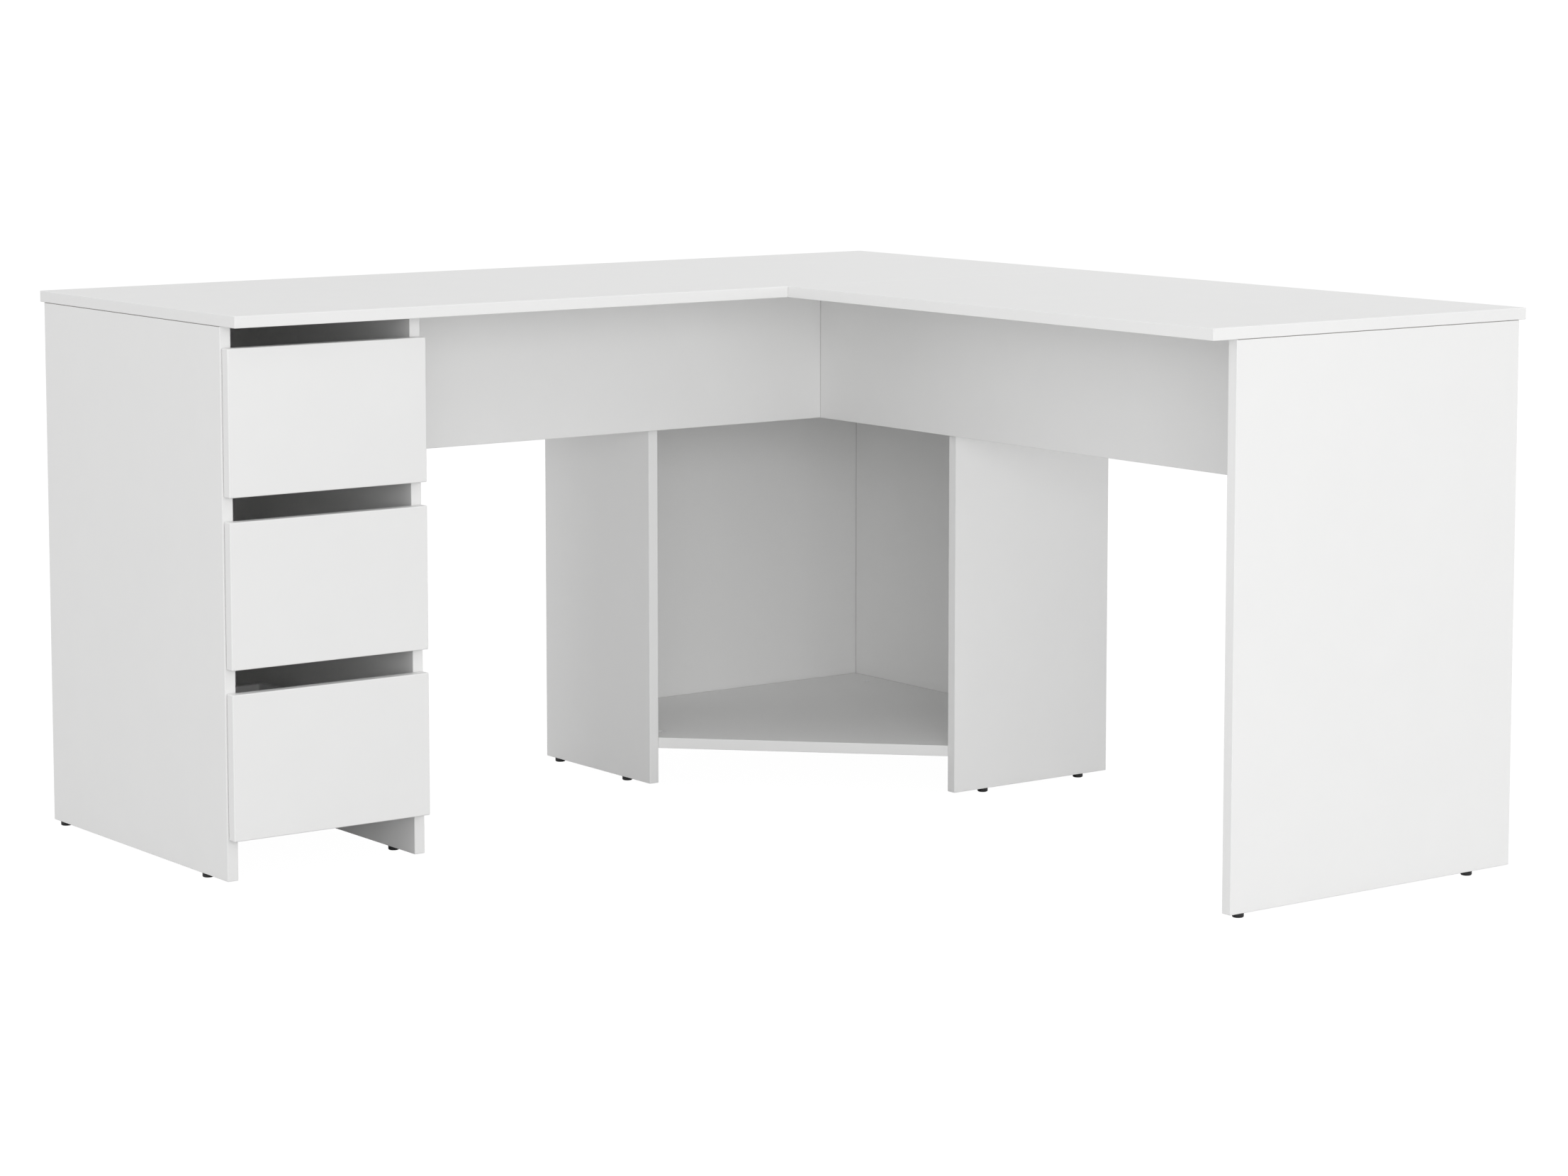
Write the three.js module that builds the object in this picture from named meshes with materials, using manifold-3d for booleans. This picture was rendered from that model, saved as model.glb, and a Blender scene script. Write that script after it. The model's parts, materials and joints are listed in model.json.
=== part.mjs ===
// Corner desk: two wings that meet in a corner, a pedestal of three drawers at the
// left end, a shelf unit in the corner and an end panel on the right.
//
// Units are millimetres and +Z is up. The origin is on the floor, under the middle of
// the square that the two wings span. The user stands inside the L, at low X and low Y,
// so the left wing's drawers face -Y and the open side of the right wing faces -X.
// Inside the group the sizes are laid out from the desk's outer corner at low X and Y.

import * as THREE from "three";
import { mergeVertices } from "three/addons/utils/BufferGeometryUtils.js";
import Module from "manifold-3d";

const wasm = await Module();
wasm.setup();

// ---- driving dimensions -------------------------------------------------------------

const wingLength = 1475; // both wings, measured along the walls
const wingDepth = 570;
const deskHeight = 770;
const boardThickness = 16;
const hardboardThickness = 3;
const glideHeight = 6;
const rearOverhang = 13; // the tops stand this far behind the uprights
const uprightDepth = 516;
const apronHeight = 211;
const apronRecess = 242; // from a top's front edge back to its apron's face
const arris = 1; // small bevel on every board edge
const fitGap = 0.3; // clearance between neighbouring pieces
const seamGap = 0.4; // joint between the two tops

// Drawer pedestal
const pedestalWidth = 308.5;
const frontHeight = 199;
const frontPitch = 231.7;
const lowestFrontZ = 63;
const frontSideMargin = 1.5; // a front stops this short of the pedestal's sides
const frontGap = 2; // between a front's back and the uprights' front edges
const frontArris = 1.5;
const drawerBoxHeight = 106;
const drawerBoxRaise = 25; // box bottom above its front's lower edge
const drawerBoxDepth = 402;
const drawerWallThickness = 12;
const drawerBottomRaise = 10;
const drawerBottomGroove = 5.5;
const runnerSpace = 12.5; // each side of a drawer box
const runnerLength = 400;
const pedestalFloorZ = 66;
const backGrooveDepth = 6;
const backGrooveInset = 9.3; // groove's rear wall, from the upright's rear edge

// Corner unit
const cornerLeftX = 838; // outer face of the unit's left panel
const cornerRightY = 836.5; // outer face of the unit's right panel
const shelfZ = 59;
const cornerBackZ = 61;
const cornerBackInset = 2; // the thin back stops this short of the unit's outer faces
const cornerRearDepth = 16.5; // how much shorter the left panel and wall are at the rear
const camInset = 33.5; // cam centre to the shelf edge that it draws up
const wallCamEndInset = 72; // first and last cam along the wall, from the shelf's corners
const panelCamEndInset = 40; // first cam along each panel, from the shelf's front edge
const panelCamPitch = 160;

// Glides: how far each stands in from an upright's front and rear edges
const glideInsets = {
  pedestal: { front: 70, rear: 22 },
  end: { front: 21, rear: 74 },
  cornerLeft: { front: 72, rear: 25 },
  cornerRight: { front: 61, rear: 50 },
  cornerWall: { rear: 45 },
};

// ---- derived dimensions -------------------------------------------------------------

const topUnder = deskHeight - boardThickness;
const uprightTop = topUnder - fitGap;
const uprightHeight = uprightTop - glideHeight;
const uprightRear = wingLength - rearOverhang;
const uprightFront = uprightRear - uprightDepth;
const frontEdge = wingLength - wingDepth; // a top's front edge
const apronFace = frontEdge + apronRecess;
const apronBack = apronFace + boardThickness;
const apronZ = topUnder - apronHeight;
const cornerPanelFront = apronBack + fitGap;
const cornerLeftInner = cornerLeftX + boardThickness;
const cornerRightInner = cornerRightY + boardThickness;
const cornerRear = uprightRear - cornerRearDepth;
const cornerWallX = uprightRear - boardThickness; // the wall's inner face
const pedestalInnerLeft = boardThickness;
const pedestalInnerRight = pedestalWidth - boardThickness;
const frontBackY = uprightFront - frontGap;
const frontFaceY = frontBackY - boardThickness;
const boxLeft = pedestalInnerLeft + runnerSpace;
const boxRight = pedestalInnerRight - runnerSpace;
const boxFrontY = frontBackY + fitGap;
const boxRearY = frontBackY + drawerBoxDepth;
const backGrooveWidth = hardboardThickness + 2 * fitGap;
const backGrooveY = uprightRear - backGrooveInset - backGrooveWidth;

// ---- finishes -----------------------------------------------------------------------

const finishes = {
  whiteBoard: { color: 0xf1f1ef, roughness: 0.42, metalness: 0 },
  drawerLining: { color: 0xe9e9e6, roughness: 0.5, metalness: 0 },
  hardboard: { color: 0xe6e5e1, roughness: 0.6, metalness: 0 },
  whiteSteel: { color: 0xe8e9ea, roughness: 0.35, metalness: 0.1 },
  zinc: { color: 0xb9babc, roughness: 0.35, metalness: 1 },
  blackPlastic: { color: 0x141414, roughness: 0.5, metalness: 0 },
};

// ---- helpers ------------------------------------------------------------------------

// The matrix that turns a shape drawn in XY and raised along Z so that it is raised
// along the named axis instead, keeping its handedness.
const axisTurns = {
  x: new THREE.Matrix4().makeBasis(
    new THREE.Vector3(0, 1, 0),
    new THREE.Vector3(0, 0, 1),
    new THREE.Vector3(1, 0, 0),
  ),
  y: new THREE.Matrix4().makeBasis(
    new THREE.Vector3(0, 0, 1),
    new THREE.Vector3(1, 0, 0),
    new THREE.Vector3(0, 1, 0),
  ),
  z: new THREE.Matrix4(),
};

const desk = new THREE.Group();
const layout = new THREE.Group();
layout.position.set(-wingLength / 2, -wingLength / 2, 0);
desk.add(layout);

// Adds one named piece to the desk, with a material of its own.
function addPiece(name, geometry, finish, position = [0, 0, 0]) {
  const mesh = new THREE.Mesh(geometry, new THREE.MeshStandardMaterial(finishes[finish]));
  mesh.name = name;
  mesh.position.set(...position);
  layout.add(mesh);
  return mesh;
}

// An outline raised to a thickness, with the arris bevelled on both faces.
function bevelledSlab(outline, thickness, bevel) {
  return new THREE.ExtrudeGeometry(new THREE.Shape(outline), {
    depth: thickness - 2 * bevel,
    bevelEnabled: true,
    bevelThickness: bevel,
    bevelSize: bevel,
    bevelOffset: -bevel,
    bevelSegments: 1,
    steps: 1,
  }).translate(0, 0, bevel);
}

function rectangle(width, height) {
  return [
    new THREE.Vector2(0, 0),
    new THREE.Vector2(width, 0),
    new THREE.Vector2(width, height),
    new THREE.Vector2(0, height),
  ];
}

// A board of the given size along X, Y and Z. Its thickness is the size along `normal`.
function boardGeometry(size, normal, bevel = arris) {
  const [x, y, z] = size;
  const faces = { x: [y, z, x], y: [z, x, y], z: [x, y, z] };
  const [width, height, thickness] = faces[normal];
  return bevelledSlab(rectangle(width, height), thickness, bevel).applyMatrix4(axisTurns[normal]);
}

// Adds a board that fills the box from `low` to `high`.
function addBoard(name, low, high, normal, finish = "whiteBoard", bevel = arris) {
  const size = high.map((value, axis) => value - low[axis]);
  return addPiece(name, boardGeometry(size, normal, bevel), finish, low);
}

// A closed geometry as a solid that can be joined and cut.
function toSolid(geometry) {
  const bare = geometry.clone();
  bare.deleteAttribute("normal");
  bare.deleteAttribute("uv");
  const merged = mergeVertices(bare);
  return new wasm.Manifold(
    new wasm.Mesh({
      numProp: 3,
      vertProperties: new Float32Array(merged.attributes.position.array),
      triVerts: new Uint32Array(merged.index.array),
    }),
  );
}

function toGeometry(solid) {
  const { vertProperties, triVerts } = solid.getMesh();
  const geometry = new THREE.BufferGeometry();
  geometry.setAttribute("position", new THREE.BufferAttribute(vertProperties, 3));
  geometry.setIndex(new THREE.BufferAttribute(triVerts, 1));
  return geometry;
}

function subtractAll(geometry, cutters) {
  const start = toSolid(geometry);
  return toGeometry(cutters.reduce((solid, cutter) => solid.subtract(toSolid(cutter)), start));
}

function joinAll(geometries) {
  const [first, ...others] = geometries;
  return toGeometry(others.reduce((solid, other) => solid.add(toSolid(other)), toSolid(first)));
}

function boxAt(low, high) {
  const size = high.map((value, axis) => value - low[axis]);
  const middle = high.map((value, axis) => (value + low[axis]) / 2);
  return new THREE.BoxGeometry(...size).translate(...middle);
}

// A cylinder standing on z = 0, or lying along X from x = 0.
function cylinder(radius, length, sides, along = "z") {
  const geometry = new THREE.CylinderGeometry(radius, radius, length, sides);
  if (along === "x") {
    return geometry.rotateZ(-Math.PI / 2).translate(length / 2, 0, 0);
  }
  return geometry.rotateX(Math.PI / 2).translate(0, 0, length / 2);
}

// ---- glides and uprights ------------------------------------------------------------

const glideRadius = 7.75;
const glideRound = 2; // radius of the disc's lower rim
const glideSides = 20;
const glideRimSteps = 2; // the rim's quarter turn has twice as many sides
const nailRadius = 1.1;
const nailLength = 12;
const nailTip = 2; // the nail's pointed end
const nailSides = 12;

// A nail-on glide: a disc with a rounded lower rim and the nail that holds it.
function glideGeometry() {
  const discTop = glideHeight - fitGap;
  const outline = new THREE.Path();
  outline.moveTo(0, 0);
  outline.lineTo(glideRadius - glideRound, 0);
  outline.absarc(glideRadius - glideRound, glideRound, glideRound, -Math.PI / 2, 0, false);
  outline.lineTo(glideRadius, discTop);
  outline.lineTo(nailRadius, discTop);
  outline.lineTo(nailRadius, glideHeight + nailLength - nailTip);
  outline.lineTo(0, glideHeight + nailLength);
  return new THREE.LatheGeometry(outline.getPoints(glideRimSteps), glideSides).rotateX(Math.PI / 2);
}

// The blind hole that a glide's nail fills, in an upright's own frame (bottom at z = 0).
// It starts a little below the upright, so that the cut is clean.
function nailHole(x, y) {
  const start = -fitGap;
  const hole = cylinder(nailRadius + fitGap, nailLength + fitGap - start, nailSides);
  return hole.translate(x, y, start);
}

// Adds an upright that stands on glides, with their nail holes, and the glides.
// `insets` gives each glide's distance from the upright's front or rear edge.
function addUpright(name, low, high, normal, glideName, insets, grooves = []) {
  const size = high.map((value, axis) => value - low[axis]);
  const depth = normal === "x" ? size[1] : size[0];
  const glides = Object.entries(insets).map(([end, inset]) => {
    const along = end === "front" ? inset : depth - inset;
    const across = boardThickness / 2;
    const [x, y] = normal === "x" ? [across, along] : [along, across];
    return { name: `glide_${glideName}_${end}`, x, y };
  });
  const holes = glides.map(({ x, y }) => nailHole(x, y));
  const geometry = subtractAll(boardGeometry(size, normal), [...holes, ...grooves]);
  addPiece(name, geometry, "whiteBoard", low);
  for (const glide of glides) {
    addPiece(glide.name, glideGeometry(), "blackPlastic", [low[0] + glide.x, low[1] + glide.y, 0]);
  }
}

// ---- tops and aprons ----------------------------------------------------------------

function addTops() {
  addBoard("top_left", [0, frontEdge, topUnder], [wingLength, wingLength, deskHeight], "z");
  addBoard("top_right", [frontEdge, 0, topUnder], [wingLength, frontEdge - seamGap, deskHeight], "z");
}

function addAprons() {
  addBoard(
    "apron_left",
    [pedestalWidth + fitGap, apronFace, apronZ],
    [apronBack, apronBack, uprightTop],
    "y",
  );
  addBoard(
    "apron_right",
    [apronFace, boardThickness + fitGap, apronZ],
    [apronBack, apronFace - fitGap, uprightTop],
    "x",
  );
}

// ---- pedestal -----------------------------------------------------------------------

const overcut = 1; // how far a cutter stands out of the face that it cuts
const pedestalBackZ = pedestalFloorZ - 2;

// The groove in an upright's inner face that holds the pedestal's thin back.
function backGroove(side) {
  const x = side === "left" ? boardThickness - backGrooveDepth : -overcut;
  const y = backGrooveY - uprightFront;
  return boxAt(
    [x, y, pedestalBackZ - fitGap - glideHeight],
    [x + backGrooveDepth + overcut, y + backGrooveWidth, uprightHeight + overcut],
  );
}

function addPedestal() {
  for (const [side, x] of [["left", 0], ["right", pedestalInnerRight]]) {
    addUpright(
      `pedestal_${side}_side`,
      [x, uprightFront, glideHeight],
      [x + boardThickness, uprightRear, uprightTop],
      "x",
      `pedestal_${side}`,
      glideInsets.pedestal,
      [backGroove(side)],
    );
  }
  const backInset = backGrooveDepth - fitGap;
  addBoard(
    "pedestal_back",
    [pedestalInnerLeft - backInset, backGrooveY + fitGap, pedestalBackZ],
    [pedestalInnerRight + backInset, backGrooveY + fitGap + hardboardThickness, uprightTop],
    "y",
    "hardboard",
    fitGap,
  );
  addBoard(
    "pedestal_floor",
    [pedestalInnerLeft + fitGap, uprightFront + fitGap, pedestalFloorZ],
    [pedestalInnerRight - fitGap, backGrooveY, pedestalFloorZ + boardThickness],
    "z",
  );
}

// ---- drawer runners -----------------------------------------------------------------

const steel = 1.2; // sheet thickness
const channelHeight = 28;
const channelDepth = 10.5;
const channelDrop = 2; // channel bottom below the drawer box's bottom
const channelInset = 2; // channel end behind the uprights' front edges
const frontRollerRadius = 7;
const frontRollerInset = 3; // roller behind its channel's front end
const rearRollerRadius = 10;
const rollerClearance = 0.4;
const rollerWidth = 7;
const rollerReach = 10; // end of a roller's axle from the runner's back face
const axleRadius = 2;
const axleSides = 10;
const rollerSides = 24;
const trackReach = 9.5; // how far a drawer runner's track stands out from the box
const wrapReach = 10; // the part of a drawer runner under the box's side
const rollerPlateWidth = 16; // web behind the rear roller
const rollerPlateRise = 5; // that web's top above the roller's axle

// A thin open section drawn in XZ from its corner points and carried along +Y.
// `mirror` flips it left to right.
function sectionAlongY(points, length, mirror) {
  const outline = points.map(([x, z]) => new THREE.Vector2(mirror ? -x : x, z));
  const geometry = new THREE.ExtrudeGeometry(new THREE.Shape(outline), {
    depth: length,
    bevelEnabled: false,
  });
  return geometry.rotateX(Math.PI / 2).translate(0, length, 0);
}

// A roller and its axle, which starts at x = 0 and runs towards +X, or -X if mirrored.
function roller(radius, start, end, y, z, mirror) {
  const [low, high] = mirror ? [-end, -start] : [start, end];
  const wheel = cylinder(radius, rollerWidth, rollerSides, "x");
  wheel.translate((low + high - rollerWidth) / 2, y, z);
  const axle = cylinder(axleRadius, high - low, axleSides, "x").translate(low, y, z);
  return [wheel, axle];
}

// The cabinet half: a channel against the upright, open towards the drawer, with a
// roller at its front end. Its frame has x = 0 on the upright's face and z = 0 at the
// channel's lower edge.
function cabinetRunnerGeometry(mirror) {
  const section = [
    [0, 0],
    [channelDepth, 0],
    [channelDepth, steel],
    [steel, steel],
    [steel, channelHeight - steel],
    [channelDepth, channelHeight - steel],
    [channelDepth, channelHeight],
    [0, channelHeight],
  ];
  const centreY = frontRollerInset + frontRollerRadius;
  const centreZ = steel + rollerClearance + frontRollerRadius;
  const wheel = roller(frontRollerRadius, steel / 2, rollerReach, centreY, centreZ, mirror);
  return joinAll([sectionAlongY(section, runnerLength, mirror), ...wheel]);
}

// The drawer half: an angle that wraps the box side's lower edge, with a track that
// stands out into the channel and rides on the front roller, and a roller at its rear
// end. Its frame has x = 0 on the box side's outer face, with the upright towards -X,
// and z = 0 at the box's bottom.
function drawerRunnerGeometry(mirror) {
  const trackZ = steel + 2 * rollerClearance + 2 * frontRollerRadius - channelDrop;
  const low = -steel - fitGap;
  const section = [
    [wrapReach, low],
    [wrapReach, -fitGap],
    [-fitGap, -fitGap],
    [-fitGap, trackZ + steel],
    [-trackReach, trackZ + steel],
    [-trackReach, trackZ],
    [-fitGap - steel, trackZ],
    [-fitGap - steel, low],
  ];
  const centreZ = steel + rollerClearance + rearRollerRadius - channelDrop;
  const centreY = runnerLength - rearRollerRadius;
  const wheel = roller(rearRollerRadius, fitGap + steel / 2, rollerReach, centreY, centreZ, !mirror);
  const plateX = mirror ? fitGap : -fitGap - steel;
  const plate = boxAt(
    [plateX, centreY - rollerPlateWidth / 2, low],
    [plateX + steel, centreY + rollerPlateWidth / 2, centreZ + rollerPlateRise],
  );
  return joinAll([sectionAlongY(section, runnerLength, mirror), plate, ...wheel]);
}

// ---- drawers ------------------------------------------------------------------------

const tiers = ["bottom", "middle", "top"];
const bottomGrooveHeight = hardboardThickness + 2 * fitGap;

// One side of a drawer box, with the groove for the box's bottom in its inner face.
function addDrawerSide(name, side, boxZ) {
  const x = side === "left" ? boxLeft : boxRight - drawerWallThickness;
  const size = [drawerWallThickness, boxRearY - boxFrontY, drawerBoxHeight];
  const grooveX = side === "left" ? drawerWallThickness - drawerBottomGroove : -overcut;
  const grooveZ = drawerBottomRaise - fitGap;
  const groove = boxAt(
    [grooveX, -overcut, grooveZ],
    [grooveX + drawerBottomGroove + overcut, size[1] + overcut, grooveZ + bottomGrooveHeight],
  );
  const geometry = subtractAll(boardGeometry(size, "x"), [groove]);
  addPiece(name, geometry, "drawerLining", [x, boxFrontY, boxZ]);
}

// One drawer on its two pairs of runners. Tier 0 is the lowest.
function addDrawer(tierName, tier) {
  const name = `${tierName}_drawer`;
  const frontZ = lowestFrontZ + tier * frontPitch;
  const boxZ = frontZ + drawerBoxRaise;
  const innerLeft = boxLeft + drawerWallThickness;
  const innerRight = boxRight - drawerWallThickness;
  addBoard(
    `${name}_front`,
    [frontSideMargin, frontFaceY, frontZ],
    [pedestalWidth - frontSideMargin, frontBackY, frontZ + frontHeight],
    "y",
    "whiteBoard",
    frontArris,
  );
  addBoard(
    `${name}_back`,
    [innerLeft + fitGap, boxRearY - drawerWallThickness, boxZ + drawerBottomRaise + bottomGrooveHeight],
    [innerRight - fitGap, boxRearY, boxZ + drawerBoxHeight],
    "y",
    "drawerLining",
  );
  const bottomReach = drawerBottomGroove - fitGap;
  addBoard(
    `${name}_bottom`,
    [innerLeft - bottomReach, boxFrontY, boxZ + drawerBottomRaise],
    [innerRight + bottomReach, boxRearY, boxZ + drawerBottomRaise + hardboardThickness],
    "z",
    "hardboard",
    fitGap,
  );
  const runnerSides = [
    { side: "left", boxFace: boxLeft, uprightFace: pedestalInnerLeft + fitGap },
    { side: "right", boxFace: boxRight, uprightFace: pedestalInnerRight - fitGap },
  ];
  for (const { side, boxFace, uprightFace } of runnerSides) {
    const mirror = side === "right";
    const channelAt = [uprightFace, uprightFront + channelInset, boxZ - channelDrop];
    addDrawerSide(`${name}_${side}_side`, side, boxZ);
    addPiece(`${name}_${side}_runner`, drawerRunnerGeometry(mirror), "whiteSteel", [
      boxFace,
      boxFrontY,
      boxZ,
    ]);
    addPiece(`cabinet_runner_${tierName}_${side}`, cabinetRunnerGeometry(mirror), "whiteSteel", channelAt);
  }
}

// ---- corner unit --------------------------------------------------------------------

const camRadius = 7.5;
const camDepth = 12.5;
const camSides = 24;
const camSlotWidth = 1.8;
const camSlotLength = 9;
const camSlotDepth = 3;

const shelfEdges = {
  left: cornerLeftInner + fitGap,
  near: cornerRightInner + fitGap,
  right: cornerWallX - fitGap,
  far: cornerRear - fitGap,
};

const cams = [
  { name: "cam_wall_rear", x: cornerWallX - camInset, y: cornerRear - wallCamEndInset },
  { name: "cam_wall_front", x: cornerWallX - camInset, y: cornerRightInner + wallCamEndInset },
];
for (const [end, along] of [["front", 0], ["rear", panelCamPitch]]) {
  const place = cornerPanelFront + panelCamEndInset + along;
  cams.push({ name: `cam_left_${end}`, x: cornerLeftInner + camInset, y: place });
  cams.push({ name: `cam_right_${end}`, x: place, y: cornerRightInner + camInset });
}

// A cam lock: a disc with a cross recess for the screwdriver.
function camGeometry() {
  const bottom = camDepth - camSlotDepth;
  const top = camDepth + overcut;
  const length = camSlotLength / 2;
  const width = camSlotWidth / 2;
  return subtractAll(cylinder(camRadius, camDepth, camSides), [
    boxAt([-length, -width, bottom], [length, width, top]),
    boxAt([-width, -length, bottom], [width, length, top]),
  ]);
}

// The shelf: a rectangle with its front corner cut off by the straight front edge, and
// a blind bore in its upper face for every cam.
function addShelf() {
  const { left, near, right, far } = shelfEdges;
  const outline = [
    [left, cornerPanelFront],
    [cornerPanelFront, near],
    [right, near],
    [right, far],
    [left, far],
  ].map(([x, y]) => new THREE.Vector2(x, y));
  const slab = bevelledSlab(outline, boardThickness, arris);
  const boreZ = boardThickness - camDepth - fitGap;
  const bores = cams.map(({ x, y }) =>
    cylinder(camRadius + fitGap, camDepth + overcut, camSides).translate(x, y, boreZ),
  );
  addPiece("corner_shelf", subtractAll(slab, bores), "whiteBoard", [0, 0, shelfZ]);
  const camZ = shelfZ + boardThickness - camDepth;
  for (const { name, x, y } of cams) {
    addPiece(name, camGeometry(), "zinc", [x, y, camZ]);
  }
}

function addCornerUnit() {
  addUpright(
    "corner_left_panel",
    [cornerLeftX, cornerPanelFront, glideHeight],
    [cornerLeftInner, cornerRear, uprightTop],
    "x",
    "corner_left",
    glideInsets.cornerLeft,
  );
  addUpright(
    "corner_right_panel",
    [cornerPanelFront, cornerRightY, glideHeight],
    [uprightRear, cornerRightInner, uprightTop],
    "y",
    "corner_right",
    glideInsets.cornerRight,
  );
  addUpright(
    "corner_wall",
    [cornerWallX, cornerRightInner + fitGap, glideHeight],
    [uprightRear, cornerRear, uprightTop],
    "x",
    "corner_wall",
    glideInsets.cornerWall,
  );
  addBoard(
    "corner_back",
    [cornerLeftX + cornerBackInset, cornerRear + fitGap, cornerBackZ],
    [uprightRear - cornerBackInset, cornerRear + fitGap + hardboardThickness, uprightTop],
    "y",
    "hardboard",
    fitGap,
  );
  addShelf();
}

// ---- end panel ----------------------------------------------------------------------

function addEndPanel() {
  addUpright(
    "end_panel",
    [uprightFront, 0, glideHeight],
    [uprightRear, boardThickness, uprightTop],
    "y",
    "end",
    glideInsets.end,
  );
}

addTops();
addAprons();
addPedestal();
tiers.forEach(addDrawer);
addCornerUnit();
addEndPanel();

export default desk;
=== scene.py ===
"""Looks of a white corner desk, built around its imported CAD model.

Units are metres in the CAD model's frame: +Z is up, the origin is on the floor under the
middle of the desk, and the user stands at low X and low Y. The drawers open towards -Y.
"""

import json
import logging
import math
from dataclasses import dataclass, field
from enum import Enum

import bmesh
import bpy
import numpy as np
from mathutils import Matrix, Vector


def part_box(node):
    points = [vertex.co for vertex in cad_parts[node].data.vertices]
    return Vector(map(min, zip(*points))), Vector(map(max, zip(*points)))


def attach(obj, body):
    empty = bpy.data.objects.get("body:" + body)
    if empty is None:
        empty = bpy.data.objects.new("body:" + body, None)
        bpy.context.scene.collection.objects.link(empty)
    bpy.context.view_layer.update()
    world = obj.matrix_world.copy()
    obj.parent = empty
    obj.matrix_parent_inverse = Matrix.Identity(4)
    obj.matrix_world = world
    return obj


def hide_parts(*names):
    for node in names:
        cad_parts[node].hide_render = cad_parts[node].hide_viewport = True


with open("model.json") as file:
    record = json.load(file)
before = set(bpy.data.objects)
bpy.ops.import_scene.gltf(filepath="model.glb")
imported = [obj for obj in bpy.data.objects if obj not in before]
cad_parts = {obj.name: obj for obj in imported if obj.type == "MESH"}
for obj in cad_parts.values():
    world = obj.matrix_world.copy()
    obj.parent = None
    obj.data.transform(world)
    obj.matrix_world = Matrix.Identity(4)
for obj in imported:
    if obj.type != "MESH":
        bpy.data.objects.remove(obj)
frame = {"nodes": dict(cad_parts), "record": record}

log = logging.getLogger("desk")

MM = 0.001
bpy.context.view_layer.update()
MERGE_DISTANCE = 0.002 * MM
CREASE_ANGLE = math.radians(35)
BEVEL_SEGMENTS = 2
NOISE_MIDDLE = 0.5
# The Mix node's colour sockets go by number, because their names repeat.
MIX_FIRST, MIX_SECOND, MIX_RESULT = 6, 7, 2


# ---- shader expressions --------------------------------------------------------------


class Value:
    """A number socket of a shader that takes part in Python arithmetic."""

    def __init__(self, shader: "Shader", socket: bpy.types.NodeSocket) -> None:
        """Wraps a socket.

        Args:
            shader: the shader that the socket belongs to.
            socket: the output socket that gives the number.
        """
        self.shader = shader
        self.socket = socket

    def _with(self, operation: str, first: "Number", second: "Number") -> "Value":
        """Adds the Math node for one operation on two numbers."""
        return self.shader.math(operation, first, second)

    def __add__(self, other: "Number") -> "Value":
        """This plus other."""
        return self._with("ADD", self, other)

    def __radd__(self, other: "Number") -> "Value":
        """Other plus this."""
        return self._with("ADD", other, self)

    def __sub__(self, other: "Number") -> "Value":
        """This minus other."""
        return self._with("SUBTRACT", self, other)

    def __rsub__(self, other: "Number") -> "Value":
        """Other minus this."""
        return self._with("SUBTRACT", other, self)

    def __mul__(self, other: "Number") -> "Value":
        """This times other."""
        return self._with("MULTIPLY", self, other)

    def __rmul__(self, other: "Number") -> "Value":
        """Other times this."""
        return self._with("MULTIPLY", other, self)

    def vary(self, base: float, width: float) -> "Value":
        """The base, plus the width times how far a noise is from its middle."""
        return base + (self - NOISE_MIDDLE) * width


Number = Value | float
Colour = tuple[float, float, float]
Tint = Colour | bpy.types.NodeSocket
Span = tuple[float, float]  # a lowest and a highest factor


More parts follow.
